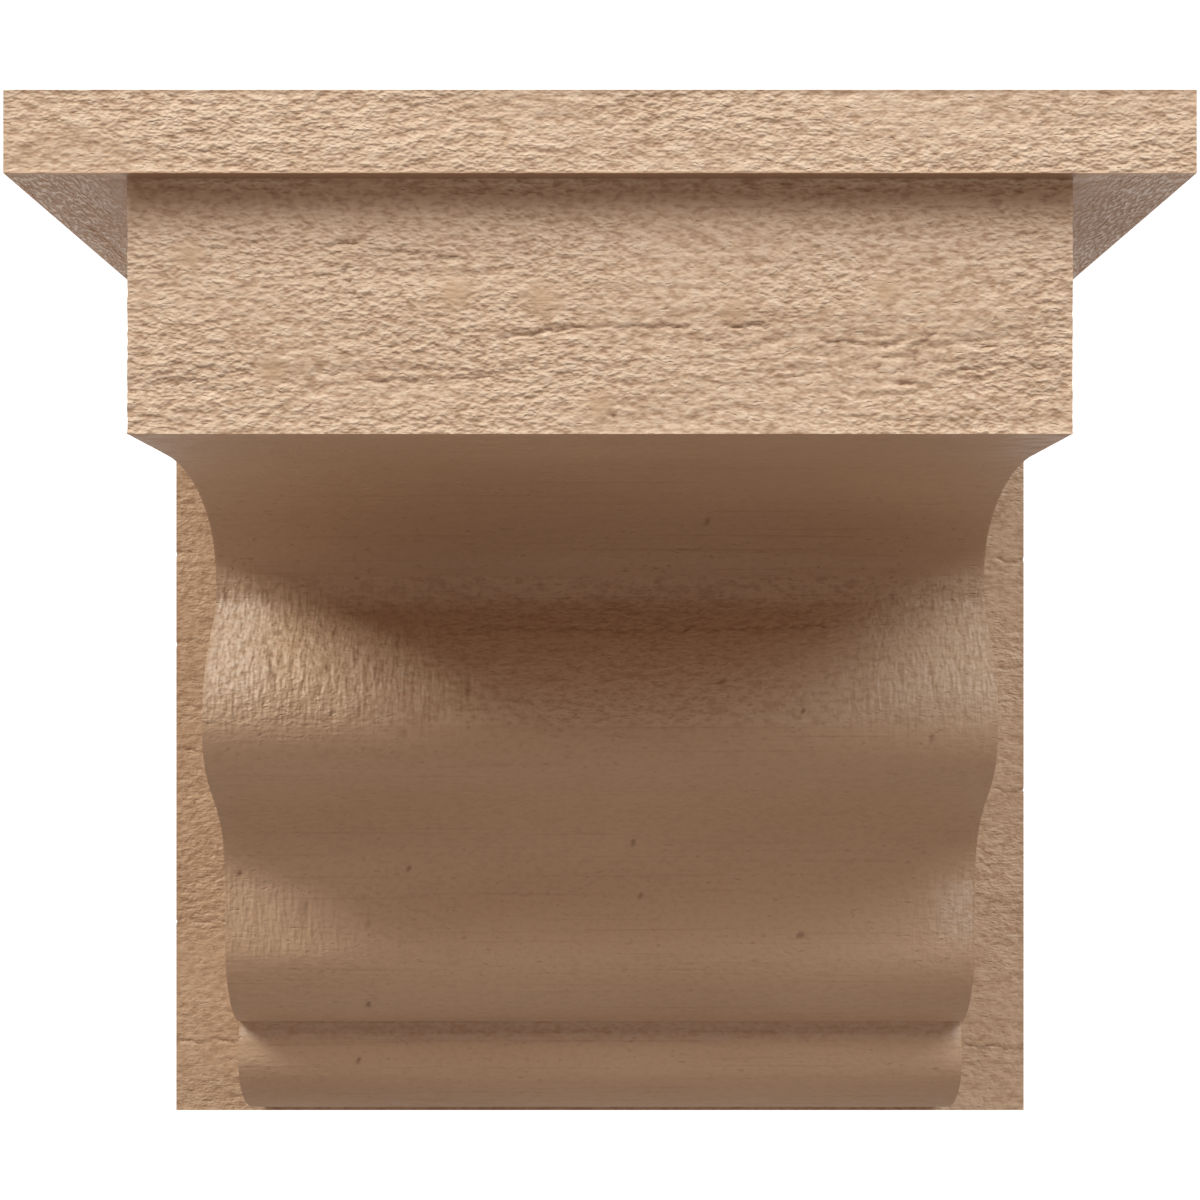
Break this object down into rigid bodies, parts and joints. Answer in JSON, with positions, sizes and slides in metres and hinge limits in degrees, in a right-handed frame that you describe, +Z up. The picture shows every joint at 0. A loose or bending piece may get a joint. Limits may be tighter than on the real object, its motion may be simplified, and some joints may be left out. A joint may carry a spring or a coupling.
{
  "type": "corbel",
  "caption": "Rough-sawn timber wall corbel: moulded body on a back plate, under an overhanging flat cap board that carries a shelf, beam or mantel.",
  "frame": {"origin": "middle of the back face, on the wall, halfway up and halfway across", "axes": "+X along the wall, +Y into the wall, +Z up; the front faces -Y"},
  "size_m": [0.254, 0.254, 0.254],
  "materials": {
    "rough_sawn_timber": "rough-sawn timber with a crumbly horizontal grain under a flat tan primer"
  },
  "bodies": {
    "root": {"cap": "rough_sawn_timber", "body": "rough_sawn_timber", "back_plate": "rough_sawn_timber"}
  },
  "joints": []
}
